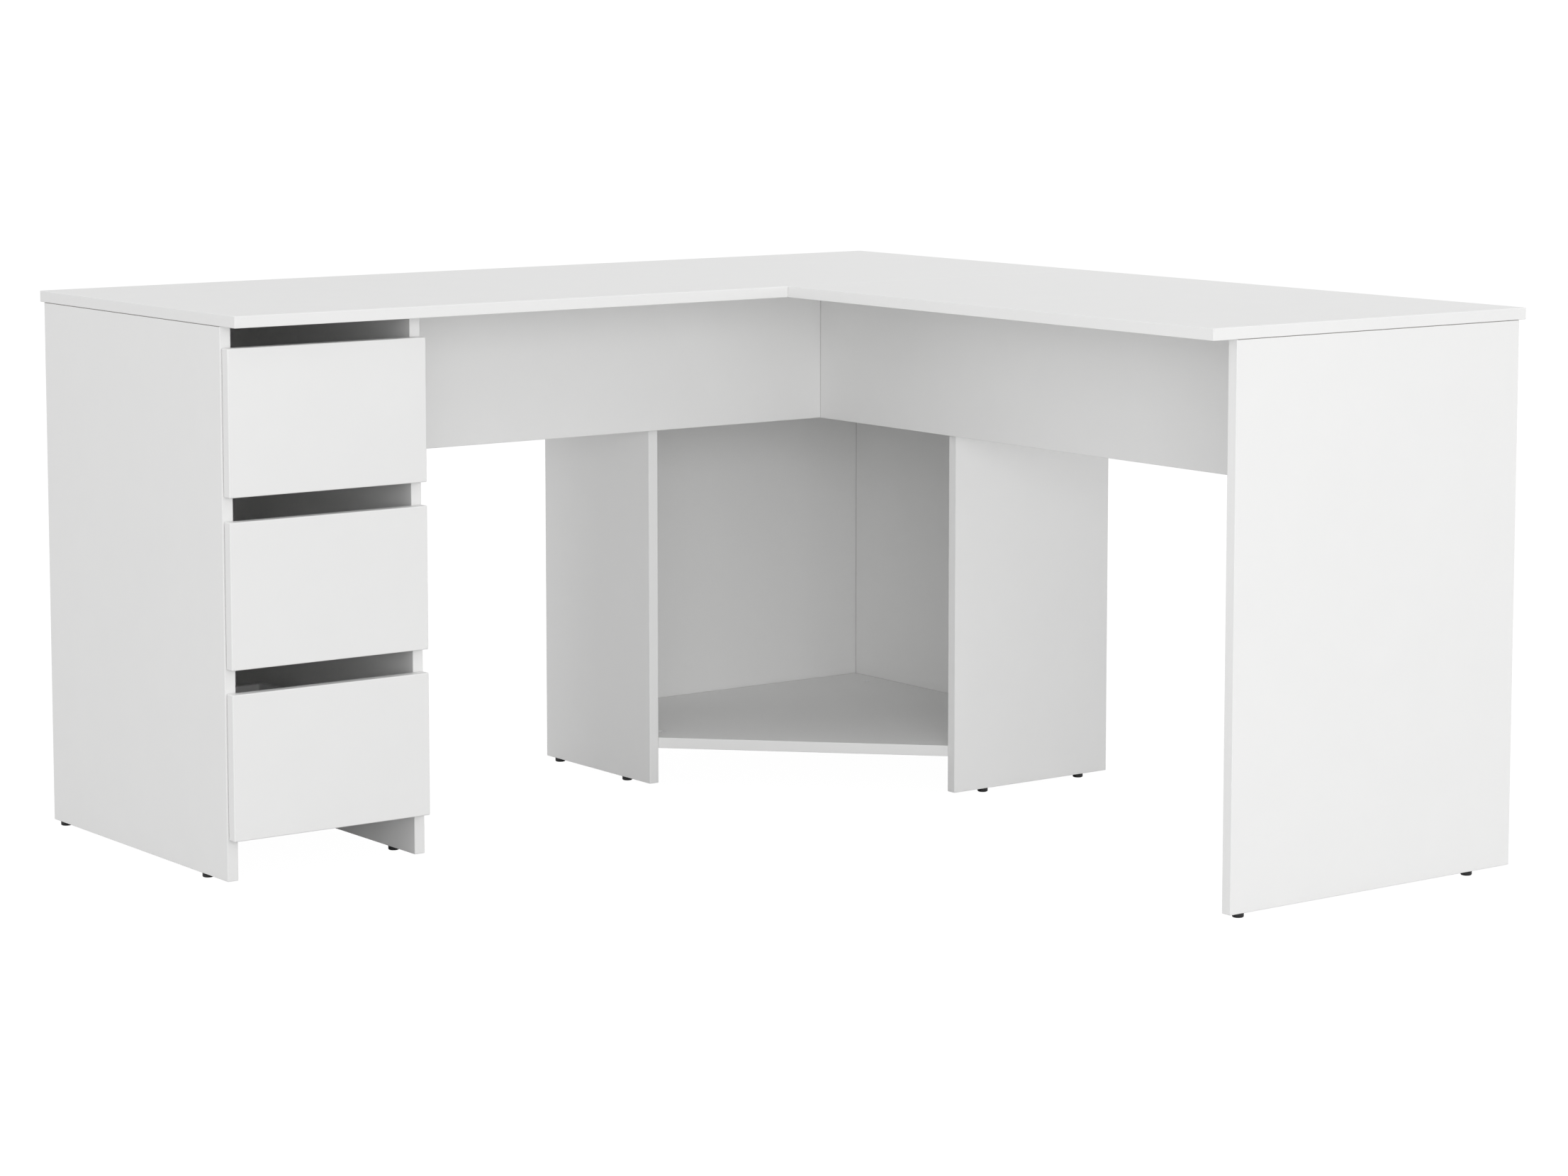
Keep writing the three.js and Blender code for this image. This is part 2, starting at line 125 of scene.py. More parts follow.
class Shader:
    """A material with a Principled shader, and the nodes that feed it."""

    def __init__(self, name: str, constants: dict[str, object]) -> None:
        """Makes the material with its shader and output.

        Args:
            name: the material's name.
            constants: Principled sockets with the values that are the same all over.
        """
        self.material = bpy.data.materials.new(name)
        self.material.use_nodes = True
        self.nodes = self.material.node_tree.nodes
        self.links = self.material.node_tree.links
        self.nodes.clear()
        self.surface = self.node("ShaderNodeBsdfPrincipled", {}, constants)
        self.output = self.node(
            "ShaderNodeOutputMaterial", {}, {"Surface": self.surface.outputs["BSDF"]}
        )

    def node(
        self, kind: str, settings: dict[str, object], inputs: dict[str | int, object]
    ) -> bpy.types.Node:
        """Adds a node of any kind.

        Args:
            kind: the node's type name.
            settings: properties that are set before the sockets.
            inputs: values or links of the sockets, by name or number.

        Returns:
            The new node.
        """
        made = self.nodes.new(kind)
        for key, value in settings.items():
            setattr(made, key, value)
        for key, value in inputs.items():
            self.feed(made.inputs[key], value)
        return made

    def feed(self, socket: bpy.types.NodeSocket, value: object) -> None:
        """Links a socket to another, or sets its constant.

        Args:
            socket: the input socket.
            value: a value, an output socket, a colour or a number.
        """
        if isinstance(value, Value):
            value = value.socket
        if isinstance(value, bpy.types.NodeSocket):
            self.links.new(value, socket)
        elif isinstance(value, tuple) and socket.type == "RGBA":
            socket.default_value = (*value, 1.0)
        else:
            socket.default_value = value

    def math(self, operation: str, first: Number, second: Number) -> Value:
        """Adds a Math node on two numbers and returns its result."""
        made = self.node("ShaderNodeMath", {"operation": operation}, {0: first, 1: second})
        return Value(self, made.outputs[0])

    def place(self, stretch: Colour = (1.0, 1.0, 1.0)) -> bpy.types.NodeSocket:
        """The point on the piece in metres.

        Args:
            stretch: scale along each axis.

        Returns:
            The socket that gives the scaled point.
        """
        coordinates = self.node("ShaderNodeTexCoord", {}, {})
        mapping = self.node(
            "ShaderNodeMapping",
            {},
            {"Vector": coordinates.outputs["Object"], "Scale": stretch},
        )
        return mapping.outputs["Vector"]

    def noise(
        self,
        grain: float,
        detail: float = 2.0,
        roughness: float = 0.5,
        stretch: Colour = (1.0, 1.0, 1.0),
    ) -> Value:
        """Smooth random values around 0.5.

        Args:
            grain: the size of one blot in metres.
            detail: how many finer layers are added.
            roughness: how strong each finer layer is.
            stretch: scale along each axis, below 1 to draw the blots out.

        Returns:
            The value at each point.
        """
        made = self.node(
            "ShaderNodeTexNoise",
            {"noise_dimensions": "3D"},
            {
                "Vector": self.place(stretch),
                "Scale": 1.0 / grain,
                "Detail": detail,
                "Roughness": roughness,
            },
        )
        return Value(self, made.outputs["Fac"])

    def attribute(self, name: str) -> Value:
        """The value of a mesh attribute."""
        made = self.node("ShaderNodeAttribute", {"attribute_name": name}, {})
        return Value(self, made.outputs["Fac"])

    def blend(self, factor: Number, first: Tint, second: Tint) -> bpy.types.NodeSocket:
        """A colour between two.

        Args:
            factor: 0 for the first colour, 1 for the second.
            first: a colour or a socket.
            second: a colour or a socket.

        Returns:
            The socket that gives the mixed colour.
        """
        made = self.node(
            "ShaderNodeMix",
            {"data_type": "RGBA", "clamp_factor": True},
            {"Factor": factor, MIX_FIRST: first, MIX_SECOND: second},
        )
        return made.outputs[MIX_RESULT]

    def relief(self, height: Value, depth: float) -> bpy.types.NodeSocket:
        """The normal of a surface with small bumps.

        Args:
            height: the bumps' height, 0 to 1.
            depth: the height of 1 in metres.

        Returns:
            The normal that feeds the shader.
        """
        made = self.node(
            "ShaderNodeBump", {}, {"Height": height, "Distance": depth, "Strength": 1.0}
        )
        return made.outputs["Normal"]

    def dress(self, **varying: object) -> bpy.types.Material:
        """Feeds what varies over the surface.

        Args:
            **varying: Principled sockets, with _ for each space, and what feeds them.

        Returns:
            The finished material.
        """
        for name, value in varying.items():
            self.feed(self.surface.inputs[name.replace("_", " ")], value)
        return self.material


# ---- finishes ------------------------------------------------------------------------


def shades(colour: Colour, span: Span) -> tuple[Colour, Colour]:
    """The darkest and the lightest shade of a colour, by their factors."""
    return tuple(tuple(channel * factor for channel in colour) for factor in span)


@dataclass(frozen=True)
class Melamine:
    """Satin white melamine on board, with a fine pearl and a smoother edge band.

    The band attribute is 1 on the edge band and 0 on the board's faces. A second attribute is 1
    along a raw cut's arris, where the chipboard shows; its dark strip is also painted shade in
    the joints between boards.
    """

    name: str = "white_melamine"
    colour: Colour = (0.915, 0.915, 0.91)
    span: Span = (0.975, 1.025)
    specular: float = 0.45
    roughness: float = 0.4
    roughness_width: float = 0.16
    cloud: float = 60 * MM
    cloud_share: float = 0.45
    pearl: float = 1.1 * MM
    pearl_depth: float = 0.012 * MM
    band_gloss: float = 0.08
    band_flatness: float = 0.7
    chip: float = 1.6 * MM
    chip_and_joint_shade_colour: Colour = (0.2, 0.185, 0.165)
    chip_span: Span = (0.6, 1.4)
    chip_roughness: float = 0.4

    def material(self) -> bpy.types.Material:
        """Builds the material: clouds and pearl vary the colour, pearl makes the relief, and a
        dark strip along raw cuts is chipboard and painted shade in the joints.

        Returns:
            The material.
        """
        shader = Shader(self.name, {"Specular IOR Level": self.specular})
        clouds = shader.noise(self.cloud, detail=3.0)
        pearl = shader.noise(self.pearl, detail=3.0, roughness=0.6)
        band = shader.attribute("band")
        tone = clouds * self.cloud_share + pearl * (1.0 - self.cloud_share)
        face = shader.blend(tone, *shades(self.colour, self.span))
        chips = shader.noise(self.chip, detail=4.0, roughness=0.7)
        # dark strip on raw cuts: the chipboard, and painted shade where the boards meet
        cut = shader.blend(chips, *shades(self.chip_and_joint_shade_colour, self.chip_span))
        core = shader.attribute("core")
        colour = shader.blend(core, face, cut)
        roughness = pearl.vary(self.roughness, self.roughness_width)
        roughness = roughness - band * self.band_gloss + core * self.chip_roughness
        relief = shader.relief(pearl * (1.0 - band * self.band_flatness), self.pearl_depth)
        return shader.dress(Base_Color=colour, Roughness=roughness, Normal=relief)


@dataclass(frozen=True)
class Foil:
    """Matt white foil wrapped round the drawer boxes' thin boards."""

    name: str = "white_foil"
    colour: Colour = (0.91, 0.91, 0.905)
    span: Span = (0.965, 1.03)
    specular: float = 0.4
    roughness: float = 0.52
    roughness_width: float = 0.2
    streak: float = 4 * MM
    streak_stretch: Colour = (1.0, 0.06, 1.0)
    emboss: float = 0.9 * MM
    emboss_depth: float = 0.015 * MM

    def material(self) -> bpy.types.Material:
        """Builds the material: a fine emboss over faint streaks along the board.

        Returns:
            The material.
        """
        shader = Shader(self.name, {"Specular IOR Level": self.specular})
        streaks = shader.noise(self.streak, detail=4.0, stretch=self.streak_stretch)
        emboss = shader.noise(self.emboss, detail=2.0)
        return shader.dress(
            Base_Color=shader.blend(streaks, *shades(self.colour, self.span)),
            Roughness=emboss.vary(self.roughness, self.roughness_width),
            Normal=shader.relief(emboss, self.emboss_depth),
        )


@dataclass(frozen=True)
class Hardboard:
    """Thin hardboard with a rolled white lacquer that lets the fibres show faintly."""

    name: str = "lacquered_hardboard"
    colour: Colour = (0.91, 0.91, 0.905)
    span: Span = (0.955, 1.03)
    specular: float = 0.45
    roughness: float = 0.48
    roughness_width: float = 0.22
    fibre: float = 2.2 * MM
    peel: float = 3.5 * MM
    peel_depth: float = 0.05 * MM
    peel_share: float = 0.8

    def material(self) -> bpy.types.Material:
        """Builds the material: fibres vary the colour, and an orange peel the relief.

        Returns:
            The material.
        """
        shader = Shader(self.name, {"Specular IOR Level": self.specular})
        fibres = shader.noise(self.fibre, detail=5.0, roughness=0.65)
        peel = shader.noise(self.peel, detail=1.5)
        height = peel * self.peel_share + fibres * (1.0 - self.peel_share)
        return shader.dress(
            Base_Color=shader.blend(fibres, *shades(self.colour, self.span)),
            Roughness=peel.vary(self.roughness, self.roughness_width),
            Normal=shader.relief(height, self.peel_depth),
        )


@dataclass(frozen=True)
class PowderCoat:
    """White powder coat on sheet steel."""

    name: str = "white_powder_coat"
    colour: Colour = (0.82, 0.82, 0.82)
    span: Span = (0.95, 1.02)
    specular: float = 0.5
    roughness: float = 0.34
    roughness_width: float = 0.14
    coat: float = 0.2
    coat_width: float = 0.1
    coat_roughness: float = 0.2
    dust: float = 18 * MM
    peel: float = 1.6 * MM
    peel_depth: float = 0.04 * MM

    def material(self) -> bpy.types.Material:
        """Builds the material: an orange peel under clouds of dust.

        Returns:
            The material.
        """
        constants = {"Specular IOR Level": self.specular, "Coat Roughness": self.coat_roughness}
        shader = Shader(self.name, constants)
        peel = shader.noise(self.peel, detail=2.0)
        dust = shader.noise(self.dust, detail=4.0)
        return shader.dress(
            Base_Color=shader.blend(dust, *shades(self.colour, self.span)),
            Roughness=dust.vary(self.roughness, self.roughness_width),
            Coat_Weight=self.coat + peel * self.coat_width,
            Normal=shader.relief(peel, self.peel_depth),
        )


@dataclass(frozen=True)
class Zinc:
    """Die-cast zinc, dull with brighter rubbed spots."""

    name: str = "cast_zinc"
    colour: Colour = (0.9, 0.9, 0.905)
    span: Span = (0.82, 1.15)
    roughness: float = 0.34
    roughness_width: float = 0.3
    skin: float = 2.5 * MM
    grain: float = 0.5 * MM
    grain_depth: float = 0.02 * MM

    def material(self) -> bpy.types.Material:
        """Builds the material: cloudy casting skin over a fine grain.

        Returns:
            The material.
        """
        shader = Shader(self.name, {"Metallic": 1.0})
        skin = shader.noise(self.skin, detail=4.0, roughness=0.6)
        grain = shader.noise(self.grain, detail=2.0)
        return shader.dress(
            Base_Color=shader.blend(skin, *shades(self.colour, self.span)),
            Roughness=skin.vary(self.roughness, self.roughness_width),
            Normal=shader.relief(grain, self.grain_depth),
        )


@dataclass(frozen=True)
class Moulding:
    """Black moulded plastic with a fine spark-eroded texture."""

    name: str = "black_plastic"
    colour: Colour = (0.014, 0.014, 0.015)
    span: Span = (0.8, 1.25)
    specular: float = 0.5
    roughness: float = 0.46
    roughness_width: float = 0.25
    scuff: float = 4 * MM
    texture: float = 0.45 * MM
    texture_depth: float = 0.03 * MM

    def material(self) -> bpy.types.Material:
        """Builds the material: the mould's texture, and scuffs that vary the gloss.

        Returns:
            The material.
        """
        shader = Shader(self.name, {"Specular IOR Level": self.specular})
        texture = shader.noise(self.texture, detail=2.0)
        scuffs = shader.noise(self.scuff, detail=5.0, roughness=0.7)
        return shader.dress(
            Base_Color=shader.blend(scuffs, *shades(self.colour, self.span)),
            Roughness=scuffs.vary(self.roughness, self.roughness_width),
            Normal=shader.relief(texture, self.texture_depth),
        )


class Finishes:
    """One material for each finish of the desk."""

    def __init__(self) -> None:
        """Builds every material once."""
        self.melamine = Melamine().material()
        self.foil = Foil().material()
        self.hardboard = Hardboard().material()
        self.powder_coat = PowderCoat().material()
        self.zinc = Zinc().material()
        self.black_plastic = Moulding().material()


# ---- surfaces ------------------------------------------------------------------------


class Axis(Enum):
    """The axis that a flat piece's thickness runs along, as an index."""

    X = 0
    Y = 1
    Z = 2


def turned(points: np.ndarray, axis: Axis) -> np.ndarray:
    """Turns points drawn in XY and raised along Z so that they rise along another axis.

    The three coordinates are rolled round, u to the next axis after the thickness and v
    to the one after that, which keeps the shape's handedness.

    Args:
        points: coordinates (..., 3) as (u, v, rise).
        axis: the axis that the rise goes to.

    Returns:
        The turned coordinates.
    """
    order = {Axis.X: (2, 0, 1), Axis.Y: (1, 2, 0), Axis.Z: (0, 1, 2)}[axis]
    return points[..., order]


def ring_faces(rows: int, columns: int) -> np.ndarray:
    """Quads of a grid of points numbered row by row, whose last column joins the first.

    Each quad joins point (r, c) to (r, c+1), (r+1, c+1) and (r+1, c).

    Args:
        rows: how many rows of points.
        columns: how many points in a row.

    Returns:
        Point numbers (faces, 4).
    """
    row, column = np.meshgrid(np.arange(rows - 1), np.arange(columns), indexing="ij")
    after = (column + 1) % columns
    quads = [row * columns + column, row * columns + after]
    quads += [(row + 1) * columns + after, (row + 1) * columns + column]
    return np.stack(quads, axis=-1).reshape(-1, 4)


def mesh_piece(
    name: str,
    points: np.ndarray,
    faces: list[list[int]],
    material: bpy.types.Material,
    **marks: np.ndarray,
) -> bpy.types.Object:
    """Makes a smooth-shaded object from points and faces, with doubles merged.

    Args:
        name: the piece's name.
        points: coordinates (n, 3) in metres.
        faces: point numbers of each face, anticlockwise from outside.
        material: the piece's finish.
        **marks: mesh attributes, a value for each point.

    Returns:
        The object, at the origin.
    """
    mesh = bpy.data.meshes.new(name)
    mesh.from_pydata(points.tolist(), [], faces)
    for mark, values in marks.items():
        mesh.attributes.new(mark, "FLOAT", "POINT").data.foreach_set("value", values)
    work = bmesh.new()
    work.from_mesh(mesh)
    bmesh.ops.remove_doubles(work, verts=work.verts, dist=MERGE_DISTANCE)
    work.to_mesh(mesh)
    work.free()
    mesh.shade_smooth()
    mesh.set_sharp_from_angle(angle=CREASE_ANGLE)
    mesh.materials.append(material)
    piece = bpy.data.objects.new(name, mesh)
    bpy.context.scene.collection.objects.link(piece)
    return piece


class Side(Enum):
    """A side of a board, as its axis and whether it is the high end."""

    LEFT = (0, False)
    RIGHT = (0, True)
    FRONT = (1, False)
    REAR = (1, True)
    BOTTOM = (2, False)
    TOP = (2, True)


@dataclass(frozen=True)
class Outline:
    """A convex outline whose corners are rounded, and how each side is finished.

    The arrays have one row for each point. A corner has a far and a near point on the
    side before it, the points of its arc, and a near and a far point on the side after.

    Args:
        base: points (n, 2) on the outline.
        inward: how far each moves (n, 2) when every side moves in by 1.
        softness: 1 (n,) on a banded side, lower on a raw one.
    """

    base: np.ndarray
    inward: np.ndarray
    softness: np.ndarray

    @staticmethod
    def around(
        corners: np.ndarray,
        soft: np.ndarray,
        radius: float,
        steps: int,
        near: float,
        far: float,
    ) -> "Outline":
        """Rounds the corners of an outline.

        An arc's centre is the corner less r * (n1 + n2) / (1 + n1.n2), where n1 and n2
        are the outward normals of the sides before and after it, and r is the radius
        times the lower softness of the two. Its points turn evenly from n1 to n2. They
        and the near points move with the mitre v that has v.n1 = -s1 and v.n2 = -s2. The
        far points move straight in, by the side's own softness.

        Args:
            corners: the sharp corners (k, 2), anticlockwise.
            soft: the softness (k,) of the side that starts at each corner.
            radius: the arcs' radius where both sides are banded.
            steps: points on each arc.
            near: distance from an arc's end to the near point on the side.
            far: distance from an arc's end to the far point on the side.

        Returns:
            The outline.
        """
        along_out = np.roll(corners, -1, axis=0) - corners
        along_out /= np.linalg.norm(along_out, axis=1, keepdims=True)
        along_in = np.roll(along_out, 1, axis=0)
        after = np.stack([along_out[:, 1], -along_out[:, 0]], axis=1)
        before = np.roll(after, 1, axis=0)
        soft_after, soft_before = soft[:, None], np.roll(soft, 1)[:, None]
        facing = (before * after).sum(axis=1, keepdims=True)
        arc_radius = radius * np.minimum(soft_after, soft_before)
        centre = corners - arc_radius * (before + after) / (1 + facing)
        cross = before[:, 0] * after[:, 1] - before[:, 1] * after[:, 0]
        turn = np.arctan2(cross, facing[:, 0])
        start = np.arctan2(before[:, 1], before[:, 0])
        angle = start[:, None] + turn[:, None] * np.linspace(0, 1, steps)
        arc = np.stack([np.cos(angle), np.sin(angle)], axis=-1)
        mitre = (soft_before - soft_after * facing) * before
        mitre = -(mitre + (soft_after - soft_before * facing) * after) / (1 - facing**2)
        points = [centre + arc_radius * before - reach * along_in for reach in (far, near)]
        points += list(np.moveaxis(centre[:, None] + arc_radius[:, None] * arc, 1, 0))
        points += [centre + arc_radius * after + reach * along_out for reach in (near, far)]
        moves = [-soft_before * before] + [mitre] * (steps + 2) + [-soft_after * after]
        softness = [soft_before] * 2 + [np.minimum(soft_before, soft_after)] * steps
        softness += [soft_after] * 2
        return Outline(
            np.stack(points, axis=1).reshape(-1, 2),
            np.stack(moves, axis=1).reshape(-1, 2),
            np.stack(softness, axis=1).reshape(-1),
        )


@dataclass(frozen=True)
class EdgeProfile:
    """How a board's edge is made: its rounded arrises and the joint of its edge band.

    Args:
        corner: how far in from the side the section starts, on the flat face.
        cut_line: how far in from the side a raw cut's chipboard starts to show.
        arris: radius of the rounded arris.
        arris_steps: points on the arris.
        ease: length of the straight on the side next to the arris.
        raw_softness: the scale of the section on a raw side.
        corner_reach: how far along a side the section takes its full shape, as a
            multiple of corner.
        joint_inset: how far in from the side the band's joint is.
        joint_width: the joint's width.
        joint_depth: the joint's depth.
        banded: whether the side has an edge band.
    """

    corner: float = 3.6 * MM
    cut_line: float = 3.4 * MM
    arris: float = 0.8 * MM
    arris_steps: int = 5
    ease: float = 0.25 * MM
    raw_softness: float = 0.15
    corner_reach: float = 1.5
    joint_inset: float = 1.15 * MM
    joint_width: float = 0.16 * MM
    joint_depth: float = 0.07 * MM
    banded: bool = True

    def half(self) -> np.ndarray:
        """The lower half of the section, from the face to the side.

        It runs out along the face, dips at the band's joint in a shallow V, and turns up
        into the side on a quarter circle.

        Returns:
            The section's points (m, 2) as (inset, rise).
        """
        flat = [(self.corner, 0.0)]
        if self.banded:
            flat += [
                (self.cut_line, 0.0),
                (self.joint_inset + self.joint_width / 2, 0.0),
                (self.joint_inset, self.joint_depth),
                (self.joint_inset - self.joint_width / 2, 0.0),
            ]
        angle = np.linspace(0, np.pi / 2, self.arris_steps)
        inset = self.arris * (1 - np.sin(angle))
        rise = self.arris * (1 - np.cos(angle))
        quarter = np.stack([inset, rise], axis=1)
        side = np.array([(0.0, self.arris + self.ease)])
        return np.concatenate([np.array(flat), quarter, side])

    def outside(self, inset: float) -> np.ndarray:
        """1 for each row of the whole section that is closer to the side than the inset."""
        lower = (self.half()[:, 0] < inset).astype(float)
        return np.concatenate([lower, lower[::-1]])

    def on_band(self) -> np.ndarray:
        """1 for each row from the middle of the band's joint outwards."""
        return self.outside(self.joint_inset + self.joint_width / 4) * self.banded

    def on_cut_and_joint_shade(self) -> np.ndarray:
        """1 for each row from the cut line outwards, up to but not on the side: where the dark
        strip goes, which is chipboard and also painted shade in the joints.
        """
        return self.outside(self.corner) - self.outside(MERGE_DISTANCE)


BANDED = EdgeProfile()
FRONT_EDGE = EdgeProfile(arris=1.4 * MM, arris_steps=6, joint_inset=1.65 * MM)
WRAPPED = EdgeProfile(corner=2.0 * MM, arris=1.8 * MM, arris_steps=6, banded=False)
THIN = EdgeProfile(
    corner=0.5 * MM, arris=0.35 * MM, arris_steps=3, ease=0.1 * MM, banded=False
)


def slab(
    name: str,
    corners: np.ndarray,
    raw: np.ndarray,
    rise: tuple[float, float],
    axis: Axis,
    edge: EdgeProfile,
    material: bpy.types.Material,
) -> bpy.types.Object:
    """A board: its edge section carried round a rounded outline, closed by two flats.

    Row m of the surface is the outline moved in by the section's inset m, and raised by
    its rise m. Where a side is raw, both shrink with the outline's softness, so the
    arris there is almost sharp.

    Args:
        name: the piece's name.
        corners: the outline's sharp corners (k, 2), anticlockwise about the axis.
        raw: whether the side that starts at each corner is a raw cut in a joint.
        rise: where the board starts and ends along the axis.
        axis: the axis that the thickness runs along.
        edge: the edge's section.
        material: the finish.

    Returns:
        The board's object.
    """
    soft = np.where(raw, edge.raw_softness, 1.0)
    near, far = edge.ease / 2, edge.corner_reach * edge.corner + edge.ease
    outline = Outline.around(corners, soft, edge.arris, edge.arris_steps, near, far)
    lower = edge.half()
    flat = outline.base[None] + lower[:, :1, None] * outline.inward[None]
    raised = lower[:, 1:] * (lower[:, :1] < edge.arris)
    height = np.where(outline.softness == 1.0, lower[:, 1:], raised * outline.softness)
    low = np.concatenate([flat, height[..., None] + rise[0]], axis=2)
    high = np.concatenate([flat, rise[1] - height[..., None]], axis=2)[::-1]
    points = turned(np.concatenate([low, high]), axis)
    rows, columns = points.shape[:2]
    faces = ring_faces(rows, columns).tolist()
    faces.append(list(range(columns))[::-1])
    faces.append(list(range((rows - 1) * columns, rows * columns)))
    band = (edge.on_band()[:, None] * (outline.softness == 1.0)).reshape(-1)
    # the dark strip on raw sides: chipboard, and painted shade in the joints between boards
    core = (edge.on_cut_and_joint_shade()[:, None] * (outline.softness < 1.0)).reshape(-1)
    return mesh_piece(name, points.reshape(-1, 3), faces, material, band=band, core=core)


def board_on(
    node: str, edge: EdgeProfile, material: bpy.types.Material, raw: tuple[Side, ...] = ()
) -> bpy.types.Object:
    """A board that fills the box of a CAD node and stands for it.

    The thickness runs along the box's shortest side.

    Args:
        node: the CAD node's name.
        edge: the edge's section.
        material: the finish.
        raw: the sides that are raw cuts.

    Returns:
        The board, not yet riding.
    """
    low, high = (np.array(corner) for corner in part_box(node))
    axis = Axis(int(np.argmin(high - low)))
    across, up = {Axis.X: (1, 2), Axis.Y: (2, 0), Axis.Z: (0, 1)}[axis]
    spots = [(low, low), (high, low), (high, high), (low, high)]
    corners = np.array([(u[across], v[up]) for u, v in spots])
    sides = [Side((up, False)), Side((across, True)), Side((up, True)), Side((across, False))]
    raw_sides = np.array([side in raw for side in sides])
    rise = (low[axis.value], high[axis.value])
    return slab(f"{node}_board", corners, raw_sides, rise, axis, edge, material)


def revolved(
    name: str, outline: np.ndarray, sides: int, material: bpy.types.Material, centre: Vector
) -> bpy.types.Object:
    """A turned piece: an outline of (radius, rise) carried round an upright axis.

    The point at angle a is (radius cos a, radius sin a, rise). The outline runs from the
    axis at the bottom, outwards and up, to the axis at the top, so both poles close.

    Args:
        name: the piece's name.
        outline: (m, 2) radius and rise.
        sides: points round the axis.
        material: the finish.
        centre: where the outline's zero is.

    Returns:
        The turned object.
    """
    angle = np.linspace(0, 2 * np.pi, sides, endpoint=False)
    radius = outline[:, 0, None]
    rise = np.broadcast_to(outline[:, 1, None], (len(outline), sides))
    points = np.stack([radius * np.cos(angle), radius * np.sin(angle), rise], axis=-1)
    points = (points + np.array(centre)).reshape(-1, 3)
    faces = ring_faces(len(outline), sides).tolist()
    return mesh_piece(name, points, faces, material)


def arc(
    centre: tuple[float, float], radius: float, start: float, end: float, steps: int
) -> np.ndarray:
    """Points (steps, 2) on an arc between two angles in degrees."""
    angle = np.radians(np.linspace(start, end, steps))
    return np.array(centre) + radius * np.stack([np.cos(angle), np.sin(angle)], axis=1)


def middle(node: str, height: float) -> Vector:
    """The point at a height on the upright axis through a CAD node's box."""
    low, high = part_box(node)
    return Vector(((low.x + high.x) / 2, (low.y + high.y) / 2, height))


# ---- putting pieces on the desk --------------------------------------------------------


def body_of(node: str) -> str:
    """The body that a CAD node belongs to."""
    bodies = frame["record"]["behaviour"]["bodies"]
    return next(body for body, nodes in bodies.items() if node in nodes)


def slot_of(node: str) -> str:
    """The material slot that the record gives a CAD node."""
    parts = frame["record"]["subparts"]
    return next(part["material_slot"] for part in parts if part["node"] == node)


def stand_for(piece: bpy.types.Object, node: str) -> None:
    """Puts a piece on the desk in place of a CAD node, with its body.

    Args:
        piece: the new piece.
        node: the CAD node that it replaces.
    """
    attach(piece, body_of(node))
    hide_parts(node)
    slot_of(node)
    log.info("%s stands for %s, %d faces", piece.name, node, len(piece.data.polygons))


def keep_node(node: str, material: bpy.types.Material, softness: float) -> None:
    """Dresses a CAD node that stays, and rounds its edges a little.

    Args:
        node: the CAD node's name.
        material: the finish.
        softness: the width of the rounding.
    """
    piece = frame["nodes"][node]
    piece.data.materials.clear()
    piece.data.materials.append(material)
    weld = piece.modifiers.new("weld", "WELD")
    weld.merge_threshold = MERGE_DISTANCE
    bevel = piece.modifiers.new("bevel", "BEVEL")
    bevel.width = softness
    bevel.segments = BEVEL_SEGMENTS
    bevel.limit_method = "ANGLE"
    log.info("%s keeps its CAD shape", node)


# ---- sub-assemblies --------------------------------------------------------------------


@dataclass
class Boards:
    """The white boards of the carcass that are plain rectangles."""

    finishes: Finishes
    raw_sides: tuple[tuple[str, tuple[Side, ...]], ...] = (
        ("top_left", ()),
        ("top_right", ()),
        ("apron_left", (Side.LEFT, Side.RIGHT, Side.TOP)),
        ("apron_right", (Side.FRONT, Side.REAR, Side.TOP)),
        ("pedestal_left_side", (Side.TOP,)),
        ("pedestal_right_side", (Side.TOP,)),
        ("pedestal_floor", (Side.LEFT, Side.RIGHT, Side.REAR)),
        ("corner_left_panel", (Side.REAR, Side.TOP)),
        ("corner_right_panel", (Side.TOP,)),
        ("corner_wall", (Side.FRONT, Side.REAR, Side.TOP)),
        ("end_panel", (Side.TOP,)),
    )
    thin_nodes: tuple[str, ...] = ("pedestal_back", "corner_back")

    def build(self) -> None:
        """Makes every board and each thin back."""
        for node, raw in self.raw_sides:
            stand_for(board_on(node, BANDED, self.finishes.melamine, raw), node)
        for node in self.thin_nodes:
            stand_for(board_on(node, THIN, self.finishes.hardboard), node)


